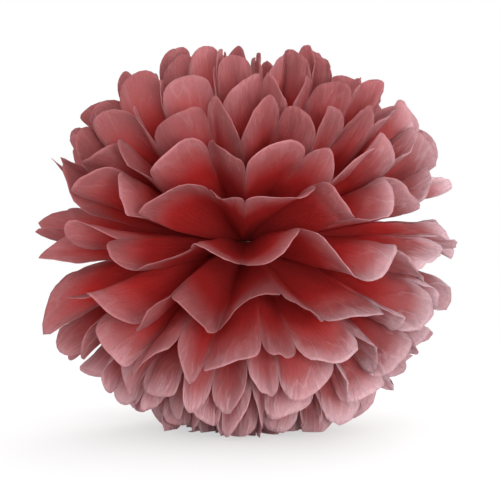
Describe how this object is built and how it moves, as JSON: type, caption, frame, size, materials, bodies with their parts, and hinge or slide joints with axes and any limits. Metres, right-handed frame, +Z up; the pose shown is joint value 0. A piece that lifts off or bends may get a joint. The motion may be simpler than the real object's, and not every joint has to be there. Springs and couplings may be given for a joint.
{
  "type": "tissue paper pom pom",
  "caption": "Ball of pleated tissue paper sheets with round petal ends, gathered at the middle by a wire tie and pulled apart into layers.",
  "frame": {"origin": "on the surface that the ball stands on, below the middle of the ball", "axes": "+Z up, through the gathered middle and across the layers; +X to the right along the sheets, from the wire tie to the petals; -Y is the front, where the parting between the two fans faces, and the picture was taken from the right of it"},
  "size_m": [0.2503, 0.2453, 0.2236],
  "materials": {
    "tissue": "matt, softly translucent dusty red tissue paper",
    "tie_wire": "plain drawn wire"
  },
  "bodies": {
    "root": {"tissue_sheet_01": "tissue", "tissue_sheet_02": "tissue", "tissue_sheet_03": "tissue", "tissue_sheet_04": "tissue", "tissue_sheet_05": "tissue", "tissue_sheet_06": "tissue", "tissue_sheet_07": "tissue", "tissue_sheet_08": "tissue", "tissue_sheet_09": "tissue", "tissue_sheet_10": "tissue", "tissue_sheet_11": "tissue", "tissue_sheet_12": "tissue", "wire_tie": "tie_wire"}
  },
  "joints": []
}
